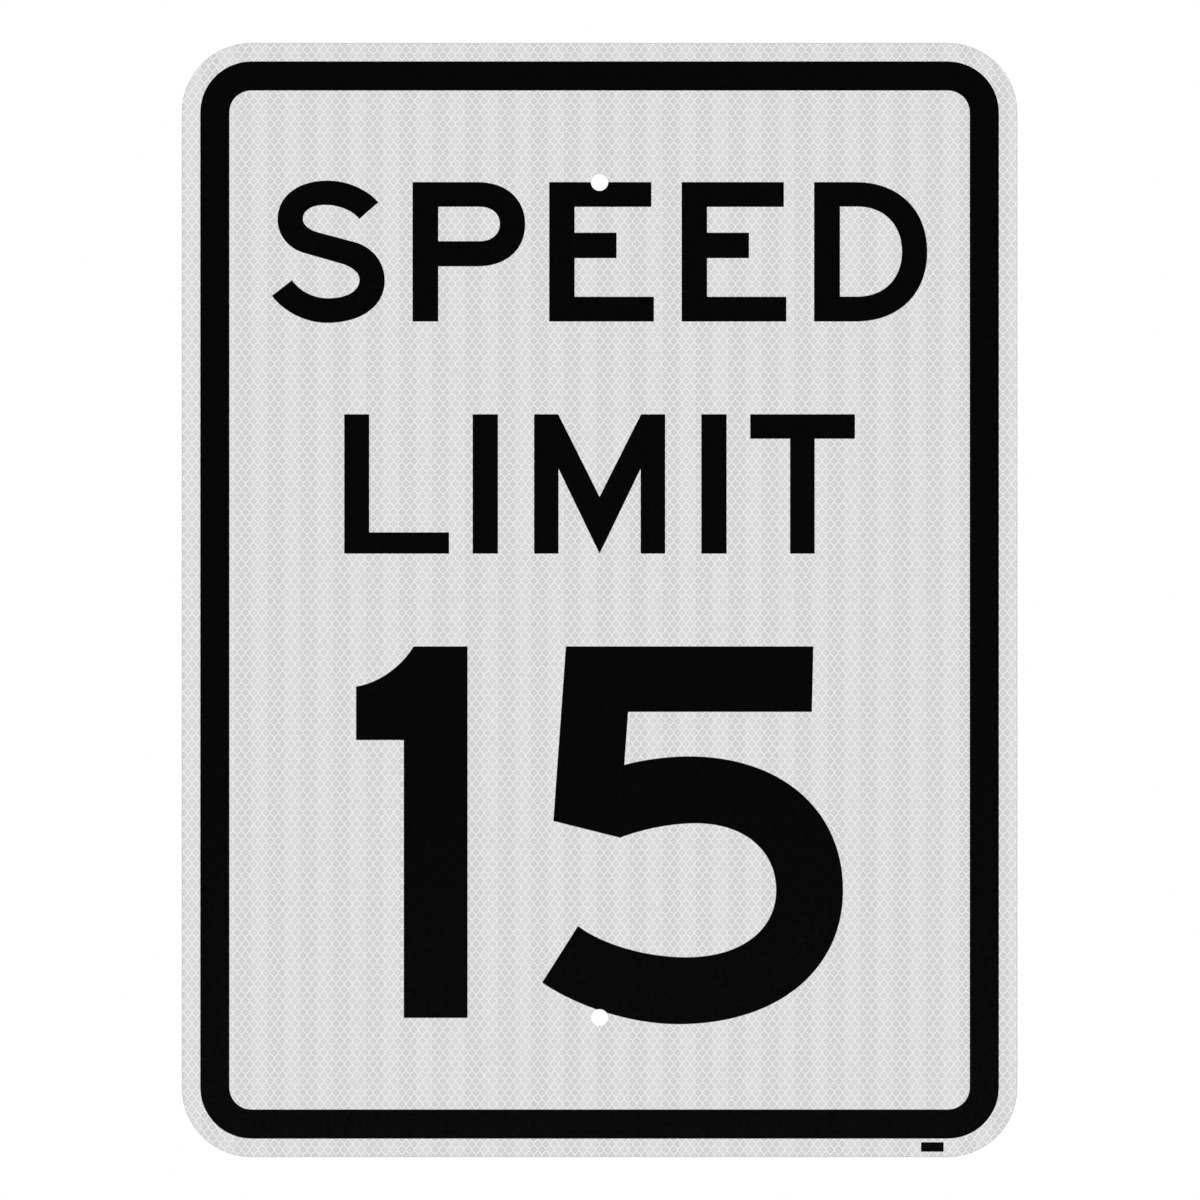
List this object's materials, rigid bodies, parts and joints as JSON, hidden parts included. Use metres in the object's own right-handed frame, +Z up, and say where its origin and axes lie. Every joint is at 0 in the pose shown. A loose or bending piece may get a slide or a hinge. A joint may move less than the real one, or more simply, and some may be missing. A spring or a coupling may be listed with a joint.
{
  "type": "speed limit sign",
  "caption": "Upright rectangular road sign: flat aluminium blank with rounded corners, white reflective face, black border band and large black numerals, bolted flat to a post.",
  "frame": {"origin": "on the flat back of the blank, midway between the two bolt holes", "axes": "+Z up, +X to the right of someone reading the sign, and the face looks along -Y"},
  "size_m": [0.4572, 0.0025, 0.6096],
  "materials": {
    "mill_aluminium": "bare mill finish with a faint rolling grain",
    "white_sheeting": "smooth prismatic reflective sheeting with a fine diamond lattice and soft upright bands",
    "black_film": "opaque satin black"
  },
  "bodies": {
    "root": {"aluminium_blank": "mill_aluminium", "reflective_sheeting": "white_sheeting", "border_band": "black_film", "corner_bar": "black_film", "numeral_one": "black_film", "numeral_five": "black_film"}
  },
  "joints": []
}
